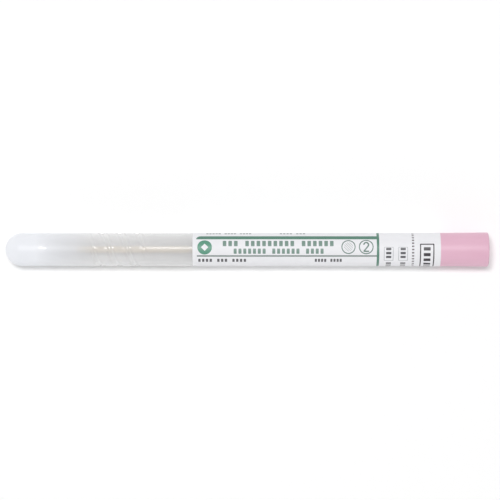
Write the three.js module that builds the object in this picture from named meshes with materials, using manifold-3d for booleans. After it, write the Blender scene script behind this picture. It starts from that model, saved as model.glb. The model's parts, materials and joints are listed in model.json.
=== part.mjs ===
// A specimen swab tube, lying on its side: a round-ended translucent tube, a push-in cap that
// carries a wooden swab down the tube's middle, and a wrap-round label whose perforated end
// seals the cap to the tube. Millimetres, +Z up, +X from the round end towards the cap.
import * as THREE from 'three';
import { mergeVertices } from 'three/addons/utils/BufferGeometryUtils.js';
import Module from 'manifold-3d';

const wasm = await Module();
wasm.setup();

// ---------------------------------------------------------------- driving dimensions

// Every round section has this many flat sides, and one of them faces straight down.
const SIDES = 24;
const ARC_STEPS = 8; // in the tube's round end and the bud's nose
const ROUNDING_STEPS = 4; // in a small rounded edge
const CUTTER_STEPS_PER_TURN = 44;
const CUTTER_SIDES = 22;

// Tube, measured along the axis from the tip of its round end
const tubeLength = 150;
const tubeRadius = 6;
const tubeWallAtMouth = 0.9;
const boreDraft = 0.1; // the bore is this much narrower where the round end begins
const mouthLeadIn = 0.35;
const tubeRimCorner = 0.15;

// Grip grooves: a pair of helical grooves round the tube, half a turn apart
const grooveStarts = 2;
const grooveFrom = 31;
const grooveTo = 52.6;
const groovePitch = 12.9;
const grooveDepth = 0.28;
const grooveCrossing = 32.4; // where the first groove passes the top of the tube
const grooveCutterRadius = 1.5;
const grooveRunOut = 0.14; // share of its length in which a groove rises out of the wall
const cutterLift = 0.1; // share of the depth by which the cutter ends clear of the wall

// Cap
const capGripLength = 28;
const capGripFlare = 0.3; // how far the grip's outer end stands out past the tube
const capEndRounding = 0.55;
const capEndThickness = 1.6;
const capWall = 1.1;
const capShoulderCorner = 0.15;
const capThroat = 2; // the length in which the plug's bore widens to the grip's
const plugLength = 9.5;
const plugClearance = 0.05; // between the plug's sealing rings and the bore
const plugWall = 0.75;
const plugLeadIn = 0.4;
const sealingRings = [2.2, 5.4]; // how far in from the tube's rim each ring sits
const sealingRingHeight = 0.12;
const sealingRingWidth = 0.5;
const socketWall = 1;
const socketReach = 3; // how far the stick's socket stands out of the cap into the plug
const socketLeadIn = 0.3;

// Swab: a wooden stick with cotton wound on its tip
const swabTipAt = 11.2;
const stickInCap = 11.2; // how far the stick reaches into the cap past the tube's rim
const stickRadius = 1.25;
const stickEdge = 0.15;
const gripClearance = 0.02; // between the stick and what is glued or pressed on it
const budLength = 15.3;
const budNose = 3.6;
const cottonOnStick = 1.25; // at the bud's widest place
const cottonAtTail = 0.35;
const cottonOverTip = 2;

// Label and the seal band, one printed strip that tears at its perforation
const labelFrom = 69.1;
const labelThickness = 0.07;
const glueLine = 0.02;
const labelButtGap = 0.5;
const sealBandLength = 10.2;
const slitPlaces = 32; // round the tube; the lowest place has no slit
const slitAcross = 0.6; // round the tube
const slitAlong = 0.44;

// ---------------------------------------------------------------- sizes that follow

const boreRadiusAtMouth = tubeRadius - tubeWallAtMouth;
const boreRadiusAtRound = boreRadiusAtMouth - boreDraft;
const capRadiusAtJoint = tubeRadius;
const capRadiusAtEnd = capRadiusAtJoint + capGripFlare;
const capTaper = capGripFlare / capGripLength;
const capEnd = tubeLength + capGripLength;
const sealRadius = boreRadiusAtMouth - plugClearance;
const plugRadius = sealRadius - sealingRingHeight;
const stickEnd = tubeLength + stickInCap;
const stickTip = swabTipAt + cottonOverTip;
const budRadius = stickRadius + cottonOnStick;
const budTailRadius = stickRadius + cottonAtTail;
const flatToCorner = Math.cos(Math.PI / SIDES);
const restingHeight = Math.max(capRadiusAtEnd, tubeRadius) * flatToCorner;

// How wide the bore is at a place along the tube; its walls follow the draft of the core.
function boreRadiusAt(along) {
  const share = (along - tubeRadius) / (tubeLength - tubeRadius);
  return boreRadiusAtRound + boreDraft * share;
}

// ---------------------------------------------------------------- shape helpers

// Points of an arc in a half section, as [along, out], with angles from the +X direction.
function arc(centreAlong, centreOut, radius, fromAngle, toAngle, steps = ARC_STEPS) {
  const points = [];
  for (let i = 0; i <= steps; i += 1) {
    const angle = fromAngle + ((toAngle - fromAngle) * i) / steps;
    points.push([centreAlong + radius * Math.cos(angle), centreOut + radius * Math.sin(angle)]);
  }
  return points;
}

// A half section turned about the X axis, with one flat side facing down.
function turned(section) {
  const points = section.map(([along, out]) => new THREE.Vector2(Math.max(out, 0), along));
  const geometry = new THREE.LatheGeometry(points, SIDES, Math.PI / SIDES);
  return geometry.rotateZ(-Math.PI / 2);
}

// A closed geometry as a solid that can be cut.
function toSolid(geometry) {
  const bare = geometry.clone();
  bare.deleteAttribute('normal');
  bare.deleteAttribute('uv');
  const merged = mergeVertices(bare, 1e-5);
  const corners = merged.index.array;
  const kept = [];
  for (let i = 0; i < corners.length; i += 3) {
    const [a, b, c] = [corners[i], corners[i + 1], corners[i + 2]];
    if (a !== b && b !== c && c !== a) kept.push(a, b, c);
  }
  return new wasm.Manifold(new wasm.Mesh({
    numProp: 3,
    vertProperties: merged.attributes.position.array,
    triVerts: new Uint32Array(kept),
  }));
}

function toGeometry(solid) {
  const mesh = solid.getMesh();
  const geometry = new THREE.BufferGeometry();
  geometry.setAttribute('position', new THREE.BufferAttribute(mesh.vertProperties, 3));
  geometry.setIndex(new THREE.BufferAttribute(mesh.triVerts, 1));
  geometry.computeVertexNormals();
  return geometry;
}

function cut(geometry, cutters) {
  let solid = toSolid(geometry);
  for (const cutter of cutters) solid = solid.subtract(toSolid(cutter));
  return toGeometry(solid);
}

// ---------------------------------------------------------------- tube

function tubeSection() {
  return [
    ...arc(tubeRadius, 0, tubeRadius, Math.PI, Math.PI / 2),
    [tubeLength - tubeRimCorner, tubeRadius],
    [tubeLength, tubeRadius - tubeRimCorner],
    [tubeLength, boreRadiusAtMouth + mouthLeadIn],
    [tubeLength - mouthLeadIn, boreRadiusAt(tubeLength - mouthLeadIn)],
    ...arc(tubeRadius, 0, boreRadiusAtRound, Math.PI / 2, Math.PI),
  ];
}

// The path of the groove's round cutter. It dips into the wall at its first end, follows a
// right-handed helix at full depth, and rises out of the wall again at the other end.
class GroovePath extends THREE.Curve {
  constructor(start) {
    super();
    this.startAngle = (2 * Math.PI * start) / grooveStarts;
  }

  getPoint(t, target = new THREE.Vector3()) {
    const along = grooveFrom + (grooveTo - grooveFrom) * t;
    const turn = this.startAngle + (2 * Math.PI * (along - grooveCrossing)) / groovePitch;
    const nearEnd = Math.min(t, 1 - t) / grooveRunOut;
    const dip = THREE.MathUtils.smoothstep(nearEnd, 0, 1) * (1 + cutterLift) - cutterLift;
    const out = tubeRadius + grooveCutterRadius - grooveDepth * dip;
    return target.set(along, -out * Math.sin(turn), out * Math.cos(turn));
  }
}

function grooveCutters() {
  const steps = Math.ceil((CUTTER_STEPS_PER_TURN * (grooveTo - grooveFrom)) / groovePitch);
  const round = new THREE.Shape();
  round.absarc(0, 0, grooveCutterRadius, 0, 2 * Math.PI);
  return Array.from({ length: grooveStarts }, (_, start) => new THREE.ExtrudeGeometry(round, {
    steps,
    curveSegments: CUTTER_SIDES / 2,
    bevelEnabled: false,
    extrudePath: new GroovePath(start),
  }));
}

function tubeGeometry() {
  return cut(turned(tubeSection()), grooveCutters());
}

// ---------------------------------------------------------------- cap

// A low ring round the plug. The bore narrows inwards, and the ring follows it.
function sealingRingSection(depth) {
  const middle = tubeLength - depth;
  const crest = boreRadiusAt(middle) - plugClearance;
  const slope = sealingRingHeight;
  return [
    [middle - sealingRingWidth / 2 - slope, plugRadius],
    [middle - sealingRingWidth / 2, crest],
    [middle + sealingRingWidth / 2, crest],
    [middle + sealingRingWidth / 2 + slope, plugRadius],
  ];
}

// One moulding: a flared grip, a shoulder that seats on the tube's rim, a hollow plug with
// two sealing rings that fit the bore, and a socket down its middle that grips the stick.
function capSection() {
  const noseAt = tubeLength - plugLength;
  const plugBore = plugRadius - plugWall;
  const gripBore = capRadiusAtJoint - capWall;
  const coreEnd = capEnd - capEndThickness;
  const socketBore = stickRadius + gripClearance;
  const socketRadius = socketBore + socketWall;
  const socketMouth = tubeLength - socketReach;
  return [
    [stickEnd + gripClearance, 0],
    [stickEnd + gripClearance, socketBore],
    [socketMouth + socketLeadIn, socketBore],
    [socketMouth, socketBore + socketLeadIn],
    [socketMouth, socketRadius],
    [coreEnd, socketRadius],
    [coreEnd, gripBore],
    [tubeLength + capThroat, gripBore],
    [tubeLength, plugBore],
    [noseAt, plugBore],
    [noseAt, plugRadius - plugLeadIn],
    [noseAt + plugLeadIn, plugRadius],
    ...sealingRings.toSorted((a, b) => b - a).flatMap(sealingRingSection),
    [tubeLength, plugRadius],
    [tubeLength, capRadiusAtJoint - capShoulderCorner],
    [tubeLength + capShoulderCorner, capRadiusAtJoint + capTaper * capShoulderCorner],
    ...arc(
      capEnd - capEndRounding,
      capRadiusAtEnd - capEndRounding,
      capEndRounding,
      Math.PI / 2,
      0,
      ROUNDING_STEPS,
    ),
    [capEnd, 0],
  ];
}

// ---------------------------------------------------------------- swab

function stickSection() {
  return [
    [stickTip, 0],
    [stickTip, stickRadius - stickEdge],
    [stickTip + stickEdge, stickRadius],
    [stickEnd - stickEdge, stickRadius],
    [stickEnd, stickRadius - stickEdge],
    [stickEnd, 0],
  ];
}

// Cotton wound on the stick: a blunt nose, its widest place behind it, then a long taper
// that ends in a thin collar on the wood.
function budSection() {
  const tail = swabTipAt + budLength;
  const widest = swabTipAt + budNose;
  const bore = stickRadius + gripClearance;
  const taperSteps = 8;
  const points = [];
  for (let i = 0; i <= ARC_STEPS; i += 1) {
    const angle = (Math.PI / 2) * (i / ARC_STEPS);
    points.push([widest - budNose * Math.cos(angle), budRadius * Math.sin(angle)]);
  }
  for (let i = 1; i <= taperSteps; i += 1) {
    const share = i / taperSteps;
    const fullness = 0.5 + 0.5 * Math.cos(Math.PI * share);
    points.push([widest + (tail - widest) * share, budTailRadius + (budRadius - budTailRadius) * fullness]);
  }
  points.push([tail, bore], [stickTip - gripClearance, bore], [stickTip - gripClearance, 0]);
  return points;
}

// ---------------------------------------------------------------- label and seal band

// The corners of the strip's section on one radius, from one side of its butt joint round
// to the other. The joint lies in the middle of the flat side that faces down.
function wrapCorners(radius) {
  const bottom = -radius * flatToCorner;
  const corners = [new THREE.Vector2(labelButtGap / 2, bottom)];
  for (let i = 0; i < SIDES; i += 1) {
    const angle = ((2 * i + 1) * Math.PI) / SIDES;
    corners.push(new THREE.Vector2(radius * Math.sin(angle), -radius * Math.cos(angle)));
  }
  corners.push(new THREE.Vector2(-labelButtGap / 2, bottom));
  return corners;
}

// A strip wrapped round a piece whose radius grows by taper for each millimetre along.
function wrapped(pieceRadius, from, length, taper) {
  const innerRadius = pieceRadius + glueLine;
  const outline = [
    ...wrapCorners(innerRadius + labelThickness),
    ...wrapCorners(innerRadius).reverse(),
  ];
  const strip = new THREE.ExtrudeGeometry(new THREE.Shape(outline), { depth: length, bevelEnabled: false });
  strip.applyMatrix4(new THREE.Matrix4().makeBasis(
    new THREE.Vector3(0, 1, 0),
    new THREE.Vector3(0, 0, 1),
    new THREE.Vector3(1, 0, 0),
  ));
  const place = strip.attributes.position;
  for (let i = 0; i < place.count; i += 1) {
    const widening = 1 + (taper * place.getX(i)) / innerRadius;
    place.setXYZ(i, place.getX(i), place.getY(i) * widening, place.getZ(i) * widening);
  }
  return strip.translate(from, 0, 0);
}

// Perforation slits across the joint of tube and cap, evenly spaced round it. There is none
// at the lowest place, where the strip's two long edges meet.
function perforationSlits() {
  const slits = [];
  for (let i = 1; i < slitPlaces; i += 1) {
    const slit = new THREE.BoxGeometry(slitAlong, slitAcross, 1);
    slit.translate(tubeLength, 0, -tubeRadius);
    slits.push(slit.rotateX((2 * Math.PI * i) / slitPlaces));
  }
  return slits;
}

function labelGeometry() {
  const strip = wrapped(tubeRadius, labelFrom, tubeLength - labelFrom, 0);
  return cut(strip, perforationSlits());
}

function sealBandGeometry() {
  const strip = wrapped(capRadiusAtJoint, tubeLength, sealBandLength, capTaper);
  return cut(strip, perforationSlits());
}

// ---------------------------------------------------------------- finishes and assembly

function finish(color, roughness, settings = {}) {
  return new THREE.MeshStandardMaterial({ color, roughness, metalness: 0, ...settings });
}

const milkyPlastic = finish('#e9ebef', 0.35, { transparent: true, opacity: 0.45 });
const pinkPlastic = finish('#e8bdd0', 0.5);
const birch = finish('#d9cdb8', 0.75);
const cotton = finish('#f6f4ef', 1);
const labelPaper = finish('#eff1f4', 0.45);
const sealPaper = finish('#eff1f4', 0.45);

const swabTube = new THREE.Group();
swabTube.name = 'specimen_swab_tube';
swabTube.position.set(-capEnd / 2, 0, restingHeight);

function addPiece(name, geometry, material) {
  const mesh = new THREE.Mesh(geometry, material);
  mesh.name = name;
  swabTube.add(mesh);
}

addPiece('tube', tubeGeometry(), milkyPlastic);
addPiece('cap', turned(capSection()), pinkPlastic);
addPiece('swab_stick', turned(stickSection()), birch);
addPiece('cotton_bud', turned(budSection()), cotton);
addPiece('label', labelGeometry(), labelPaper);
addPiece('seal_band', sealBandGeometry(), sealPaper);

export default swabTube;
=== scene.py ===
# %% [markdown]
# # A specimen swab tube, finished in Blender
#
# The real object is a dry transport swab: a milky plastic tube with a round end, a pink cap
# pushed into its mouth, a wooden swab that hangs from the cap down the middle of the tube,
# and a printed label wrapped round it. The label runs a little way onto the cap, so that a
# tube that has been opened shows it.
#
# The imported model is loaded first, as a fixed frame. It says where every piece is. Each
# piece is then modelled again with a finer surface, and gets its own finish.

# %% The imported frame
import json
import math
import random

import bpy
from mathutils import Matrix, Vector

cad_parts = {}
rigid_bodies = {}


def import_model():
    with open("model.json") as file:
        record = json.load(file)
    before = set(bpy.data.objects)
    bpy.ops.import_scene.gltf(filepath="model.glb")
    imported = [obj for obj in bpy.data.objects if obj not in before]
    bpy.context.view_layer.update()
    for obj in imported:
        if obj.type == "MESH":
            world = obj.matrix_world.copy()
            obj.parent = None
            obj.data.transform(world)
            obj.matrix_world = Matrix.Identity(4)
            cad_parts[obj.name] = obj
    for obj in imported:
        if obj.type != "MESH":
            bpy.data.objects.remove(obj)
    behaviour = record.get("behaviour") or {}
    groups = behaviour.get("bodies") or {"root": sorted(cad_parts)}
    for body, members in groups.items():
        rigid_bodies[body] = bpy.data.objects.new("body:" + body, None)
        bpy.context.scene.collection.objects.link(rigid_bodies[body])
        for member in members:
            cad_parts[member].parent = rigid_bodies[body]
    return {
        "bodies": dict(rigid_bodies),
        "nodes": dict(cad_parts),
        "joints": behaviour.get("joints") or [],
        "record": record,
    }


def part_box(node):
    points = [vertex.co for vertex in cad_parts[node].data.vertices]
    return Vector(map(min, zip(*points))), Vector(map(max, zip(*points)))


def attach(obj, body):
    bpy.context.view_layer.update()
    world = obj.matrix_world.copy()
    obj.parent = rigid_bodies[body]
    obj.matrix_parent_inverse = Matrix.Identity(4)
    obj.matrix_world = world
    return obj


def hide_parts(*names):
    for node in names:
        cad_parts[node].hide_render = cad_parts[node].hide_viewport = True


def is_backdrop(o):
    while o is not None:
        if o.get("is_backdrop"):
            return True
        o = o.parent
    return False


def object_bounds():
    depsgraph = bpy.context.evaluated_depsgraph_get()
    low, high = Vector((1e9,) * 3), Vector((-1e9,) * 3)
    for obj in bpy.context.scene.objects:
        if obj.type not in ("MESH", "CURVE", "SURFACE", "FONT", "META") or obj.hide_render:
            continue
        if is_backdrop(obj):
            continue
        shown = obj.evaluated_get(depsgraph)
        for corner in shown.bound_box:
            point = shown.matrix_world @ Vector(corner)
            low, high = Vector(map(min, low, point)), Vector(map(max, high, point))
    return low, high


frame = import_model()
cad_low, cad_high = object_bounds()
print("frame:", sorted(frame["nodes"]), "length", round((cad_high - cad_low).x, 4), "m")

# %% [markdown]
# ## Sizes
#
# Lengths come from the boxes of the frame's nodes. The frame's round sections have 24 flat
# sides, so the true radius is a little more than half a box's width: the corners stand
# out past the flats. Wall thicknesses can't be read from a box, so they are named here.

# %% Sizes from the frame, in metres
MM = 0.001
FRAME_SIDES = 24
FLAT_TO_CORNER = math.cos(math.pi / FRAME_SIDES)


def ends_and_radius(node):
    """Where a turned node starts and ends along the tube, and its largest radius."""
    low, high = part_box(node)
    return low.x, high.x, (high.y - low.y) / 2 / FLAT_TO_CORNER


TUBE_TIP, TUBE_RIM, TUBE_RADIUS = ends_and_radius("tube")
PLUG_NOSE, CAP_END, CAP_RADIUS = ends_and_radius("cap")
STICK_TIP, STICK_END, STICK_RADIUS = ends_and_radius("swab_stick")
BUD_TIP, BUD_TAIL, BUD_RADIUS = ends_and_radius("cotton_bud")
LABEL_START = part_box("label")[0].x
BAND_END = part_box("seal_band")[1].x
AXIS_HEIGHT = (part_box("cap")[0].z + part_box("cap")[1].z) / 2

WALL_AT_MOUTH = 0.9 * MM
BORE_DRAFT = 0.1 * MM
MOUTH_LEAD_IN = 0.35 * MM
RIM_ROUNDING = 0.15 * MM
BORE_AT_MOUTH = TUBE_RADIUS - WALL_AT_MOUTH
BORE_AT_ROUND = BORE_AT_MOUTH - BORE_DRAFT

GROOVE_STARTS = 2
GROOVE_FROM = TUBE_TIP + 31 * MM
GROOVE_TO = TUBE_TIP + 52.6 * MM
GROOVE_CROSSING = TUBE_TIP + 32.4 * MM
GROOVE_PITCH = 12.9 * MM
GROOVE_DEPTH = 0.28 * MM
GROOVE_CUTTER = 1.5 * MM
GROOVE_RUN_OUT_SHARE = 0.14

print("axis", round(AXIS_HEIGHT / MM, 3), "mm above the table")
print("tube radius", round(TUBE_RADIUS / MM, 3), "mm")

# %% [markdown]
# ## How the round pieces are made
#
# Tube, cap, stick and bud are all moulded, turned or wound, so each is fully described by
# half of its section. The section is drawn point by point, by extruding one vertex, and is
# then spun round the tube's axis. A cylinder with edited ends would do for the stick, but
# not for the cap, which turns in on itself to form its plug and socket. Spin leaves double
# vertices where a section touches the axis, so those are merged, and the normals are made
# to agree before anything else is done.

# %% Turning a half section
AROUND = 192
WELD = 0.001 * MM
SMOOTH_UNDER = math.radians(32)


def pick(piece):
    """Makes one piece the only selected and active object."""
    bpy.ops.object.select_all(action="DESELECT")
    piece.select_set(True)
    bpy.context.view_layer.objects.active = piece


def arc(centre, radius, first, last, steps):
    """Points of an arc in a half section, (along, out), with angles from the +X direction."""
    angles = [first + (last - first) * i / steps for i in range(steps + 1)]
    return [(centre[0] + radius * math.cos(a), centre[1] + radius * math.sin(a)) for a in angles]


def smooth(piece, angle=SMOOTH_UNDER):
    pick(piece)
    bpy.ops.object.shade_smooth_by_angle(angle=angle)


def turned(name, section, sides=AROUND):
    """A piece spun from its half section, a list of (along, out) points."""
    bpy.ops.object.select_all(action="DESELECT")
    along, out = section[0]
    bpy.ops.mesh.primitive_plane_add(size=MM, location=(along, 0, AXIS_HEIGHT + out))
    piece = bpy.context.object
    piece.name = piece.data.name = name
    bpy.ops.object.transform_apply(location=True, rotation=True, scale=True)
    bpy.ops.object.mode_set(mode="EDIT")
    bpy.ops.mesh.select_mode(type="VERT")
    bpy.ops.mesh.select_all(action="SELECT")
    bpy.ops.mesh.merge(type="CENTER")
    for here, there in zip(section, section[1:]):
        step = (there[0] - here[0], 0, there[1] - here[1])
        bpy.ops.mesh.extrude_vertices_move(TRANSFORM_OT_translate={"value": step})
    bpy.ops.mesh.select_all(action="SELECT")
    bpy.ops.mesh.spin(steps=sides, angle=2 * math.pi, center=(0, 0, AXIS_HEIGHT), axis=(1, 0, 0))
    bpy.ops.mesh.select_all(action="SELECT")
    bpy.ops.mesh.remove_doubles(threshold=WELD)
    bpy.ops.mesh.normals_make_consistent(inside=False)
    bpy.ops.object.mode_set(mode="OBJECT")
    smooth(piece)
    print(name, len(piece.data.polygons), "faces")
    return piece


# %% [markdown]
# ## The tube
#
# The tube is one injection moulding in natural polypropylene: a long straight wall, a
# hemisphere at one end and a small lead-in at the mouth. A pair of shallow helical grooves
# runs round it near the round end, for grip. They could be cut with a boolean, but its
# edges are hard and the moulded ones are soft. So the wall gets closely spaced rings
# there, each vertex gets a weight from how near it lies to a helix, and a Displace
# modifier pushes the weighted vertices in. How near it lies is also kept as an attribute
# of the mesh, so that the finish can polish the grooves.

# %% The tube's section
GROOVE_RING_SPACING = 0.15 * MM
ROUND_END_STEPS = 28
BORE_END_STEPS = 24
SMALL_EDGE_STEPS = 4


def bore_radius(along):
    """The bore's radius at a place along the tube. It widens a little toward the mouth."""
    share = (along - TUBE_TIP - TUBE_RADIUS) / (TUBE_RIM - TUBE_TIP - TUBE_RADIUS)
    return BORE_AT_ROUND + BORE_DRAFT * share


def tube_section():
    centre = (TUBE_TIP + TUBE_RADIUS, 0)
    rings = round((GROOVE_TO - GROOVE_FROM) / GROOVE_RING_SPACING)
    groove_rings = [
        (GROOVE_FROM + (GROOVE_TO - GROOVE_FROM) * i / rings, TUBE_RADIUS)
        for i in range(rings + 1)
    ]
    rim = (TUBE_RIM - RIM_ROUNDING, TUBE_RADIUS - RIM_ROUNDING)
    lead_in = TUBE_RIM - MOUTH_LEAD_IN
    return [
        *arc(centre, TUBE_RADIUS, math.pi, math.pi / 2, ROUND_END_STEPS),
        *groove_rings,
        *arc(rim, RIM_ROUNDING, math.pi / 2, 0, SMALL_EDGE_STEPS),
        (TUBE_RIM, BORE_AT_MOUTH + MOUTH_LEAD_IN),
        (lead_in, bore_radius(lead_in)),
        *arc(centre, BORE_AT_ROUND, math.pi / 2, math.pi, BORE_END_STEPS),
    ]


tube = turned("milky_tube", tube_section())

# %% The grip grooves
POLISH_REACH = 1.9 * MM
POLISH_FADE = 0.4 * MM
POLISHED_DEPTH = GROOVE_DEPTH / 3


def groove_depth(place):
    """How deep the middle of a groove would be at a place. The bore has no grooves."""
    if math.hypot(place.y, place.z - AXIS_HEIGHT) < TUBE_RADIUS - WALL_AT_MOUTH / 2:
        return 0.0
    share = (place.x - GROOVE_FROM) / (GROOVE_TO - GROOVE_FROM)
    run_out = min(1.0, max(0.0, min(share, 1 - share) / GROOVE_RUN_OUT_SHARE))
    return GROOVE_DEPTH * run_out**2 * (3 - 2 * run_out)


def across_groove(place):
    """How far a place is from the middle of the nearest groove, square to the groove."""
    turn = math.atan2(-place.y, place.z - AXIS_HEIGHT) / (2 * math.pi)
    spacing = GROOVE_PITCH / GROOVE_STARTS
    offset = (place.x - GROOVE_CROSSING - GROOVE_PITCH * turn + spacing / 2) % spacing - spacing / 2
    lead = math.atan2(GROOVE_PITCH, 2 * math.pi * TUBE_RADIUS)
    return abs(offset) * math.cos(lead)


def groove_weight(place):
    """The share of the full groove depth by which a place is pushed in."""
    across = across_groove(place)
    if across >= GROOVE_CUTTER:
        return 0.0
    floor = groove_depth(place) - GROOVE_CUTTER + math.sqrt(GROOVE_CUTTER**2 - across**2)
    return max(0.0, floor) / GROOVE_DEPTH


def polish_weight(place):
    """1 in and beside a groove, and 0 further off and where the groove has run out."""
    beside = (POLISH_REACH - across_groove(place)) / POLISH_FADE
    cut = groove_depth(place) / POLISHED_DEPTH
    return min(1.0, max(0.0, beside), cut)


def press_grooves(piece):
    weights = [groove_weight(vertex.co) for vertex in piece.data.vertices]
    polish = [polish_weight(vertex.co) for vertex in piece.data.vertices]
    group = piece.vertex_groups.new(name="grooves")
    for index, weight in enumerate(weights):
        group.add([index], weight, "REPLACE")
    press = piece.modifiers.new("grooves", "DISPLACE")
    press.mid_level = 0
    press.strength = -GROOVE_DEPTH
    press.vertex_group = group.name
    pick(piece)
    bpy.ops.object.modifier_apply(modifier=press.name)
    piece.data.attributes.new("polish", "FLOAT", "POINT").data.foreach_set("value", polish)
    print("grooves:", sum(weight > 0 for weight in weights), "vertices pushed in")


press_grooves(tube)
smooth(tube)

# %% [markdown]
# ## The cap
#
# The cap is a soft polyethylene moulding in one piece. What shows is its grip, a plain
# cone that widens slightly towards a flat end with a rounded edge. Inside the tube's mouth
# it has a hollow plug with two sealing rings, and down its middle a socket that holds the
# stick. All of it is one half section, walked from the bottom of the socket, round the
# plug and along the grip to the middle of the end.

# %% The cap's section
CAP_END_ROUNDING = 0.55 * MM
CAP_END_THICKNESS = 1.6 * MM
CAP_WALL = 1.1 * MM
CAP_THROAT = 2 * MM
SHOULDER_ROUNDING = 0.15 * MM
PLUG_CLEARANCE = 0.05 * MM
PLUG_WALL = 0.75 * MM
PLUG_NOSE_ROUNDING = 0.3 * MM
RING_DEPTHS = (5.4 * MM, 2.2 * MM)
RING_HEIGHT = 0.12 * MM
RING_WIDTH = 0.5 * MM
GRIP_CLEARANCE = 0.02 * MM
SOCKET_WALL = 1 * MM
SOCKET_REACH = 3 * MM
SOCKET_LEAD_IN = 0.3 * MM
PLUG_NOSE_STEPS = 5
CAP_END_STEPS = 10
PLUG_RADIUS = BORE_AT_MOUTH - PLUG_CLEARANCE - RING_HEIGHT


def sealing_ring(depth):
    """A low ring with sloped sides round the plug."""
    middle = TUBE_RIM - depth
    crest = bore_radius(middle) - PLUG_CLEARANCE
    half = RING_WIDTH / 2
    return [
        (middle - half - RING_HEIGHT, PLUG_RADIUS),
        (middle - half, crest),
        (middle + half, crest),
        (middle + half + RING_HEIGHT, PLUG_RADIUS),
    ]


def cap_section():
    plug_bore = PLUG_RADIUS - PLUG_WALL
    grip_bore = TUBE_RADIUS - CAP_WALL
    core_end = CAP_END - CAP_END_THICKNESS
    socket_bore = STICK_RADIUS + GRIP_CLEARANCE
    socket_floor = STICK_END + GRIP_CLEARANCE
    socket_mouth = TUBE_RIM - SOCKET_REACH
    nose = (PLUG_NOSE + PLUG_NOSE_ROUNDING, PLUG_RADIUS - PLUG_NOSE_ROUNDING)
    shoulder = (TUBE_RIM + SHOULDER_ROUNDING, TUBE_RADIUS - SHOULDER_ROUNDING)
    end = (CAP_END - CAP_END_ROUNDING, CAP_RADIUS - CAP_END_ROUNDING)
    return [
        (socket_floor, 0),
        (socket_floor, socket_bore),
        (socket_mouth + SOCKET_LEAD_IN, socket_bore),
        (socket_mouth, socket_bore + SOCKET_LEAD_IN),
        (socket_mouth, socket_bore + SOCKET_WALL),
        (core_end, socket_bore + SOCKET_WALL),
        (core_end, grip_bore),
        (TUBE_RIM + CAP_THROAT, grip_bore),
        (TUBE_RIM, plug_bore),
        (PLUG_NOSE, plug_bore),
        *arc(nose, PLUG_NOSE_ROUNDING, math.pi, math.pi / 2, PLUG_NOSE_STEPS),
        *[point for depth in RING_DEPTHS for point in sealing_ring(depth)],
        (TUBE_RIM, PLUG_RADIUS),
        *arc(shoulder, SHOULDER_ROUNDING, math.pi, math.pi / 2, SMALL_EDGE_STEPS),
        *arc(end, CAP_END_ROUNDING, math.pi / 2, 0, CAP_END_STEPS),
        (CAP_END, 0),
    ]


cap = turned("pink_cap", cap_section())

# %% [markdown]
# ## The stick
#
# The stick is a birch dowel, cut to length. It starts as a cylinder primitive laid along
# the tube, and its two end edges are bevelled, as sanding leaves them.

# %% The wooden stick
STICK_SIDES = 64
STICK_EDGE = 0.15 * MM
STICK_EDGE_STEPS = 3


def dowel():
    bpy.ops.object.select_all(action="DESELECT")
    bpy.ops.mesh.primitive_cylinder_add(
        vertices=STICK_SIDES,
        radius=STICK_RADIUS,
        depth=STICK_END - STICK_TIP,
        location=((STICK_TIP + STICK_END) / 2, 0, AXIS_HEIGHT),
        rotation=(0, math.pi / 2, 0),
    )
    piece = bpy.context.object
    piece.name = piece.data.name = "birch_stick"
    bpy.ops.object.transform_apply(location=True, rotation=True, scale=True)
    bpy.ops.object.mode_set(mode="EDIT")
    bpy.ops.mesh.select_all(action="DESELECT")
    bpy.ops.object.mode_set(mode="OBJECT")
    for edge in piece.data.edges:
        a, b = (piece.data.vertices[i].co for i in edge.vertices)
        edge.select = abs(a.x - b.x) < STICK_EDGE
    bpy.ops.object.mode_set(mode="EDIT")
    bpy.ops.mesh.select_mode(type="EDGE")
    bpy.ops.mesh.bevel(offset=STICK_EDGE, segments=STICK_EDGE_STEPS)
    bpy.ops.object.mode_set(mode="OBJECT")
    smooth(piece)
    print(piece.name, len(piece.data.polygons), "faces")
    return piece


stick = dowel()

# %% [markdown]
# ## The cotton bud
#
# Cotton fibre is wound on the tip of the stick while it turns, which gives a blunt, soft
# drop shape. The drop is spun like the other pieces, with close rings, and then made a
# little uneven by a Displace modifier that reads a cloud texture. A smooth surface alone
# would look like plastic: what says cotton is the fuzz at its edge. So one short curved
# fibre is modelled, by spinning a tiny triangle through part of a turn, and copies of it
# are laid in the surface at random, each one nearly flat and turned its own way.

# %% The wound drop
BUD_NOSE = 3.6 * MM
BUD_SIDES = 96
NOSE_RINGS = 20
TAPER_RINGS = 50
COTTON_AT_TAIL = 0.3 * MM
SOLID_PAST_STICK = 1 * MM
LUMP_HEIGHT = 0.16 * MM
LUMP_SIZE = 1.1 * MM
LUMP_DETAIL = 3
FIBRE_MARGIN = 0.12 * MM


def bud_radius(along):
    """The drop's radius at a place between its tip and its tail."""
    widest = BUD_TIP + BUD_NOSE
    full = BUD_RADIUS - FIBRE_MARGIN
    tail = STICK_RADIUS + COTTON_AT_TAIL
    if along < widest:
        share = (widest - along) / BUD_NOSE
        return full * math.sqrt(max(0.0, 1 - share**2))
    share = (along - widest) / (BUD_TAIL - widest)
    return tail + (full - tail) * (0.5 + 0.5 * math.cos(math.pi * share))


def bud_section():
    bore = STICK_RADIUS + GRIP_CLEARANCE
    bore_end = STICK_TIP - GRIP_CLEARANCE
    taper_length = BUD_TAIL - BUD_TIP - BUD_NOSE
    nose = [BUD_NOSE * (1 - math.cos(math.pi / 2 * i / NOSE_RINGS)) for i in range(NOSE_RINGS + 1)]
    taper = [BUD_NOSE + taper_length * (i + 1) / TAPER_RINGS for i in range(TAPER_RINGS)]
    outside = [(BUD_TIP + s, bud_radius(BUD_TIP + s)) for s in nose + taper]
    return [*outside, (BUD_TAIL, bore), (bore_end, bore), (bore_end, 0)]


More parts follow.
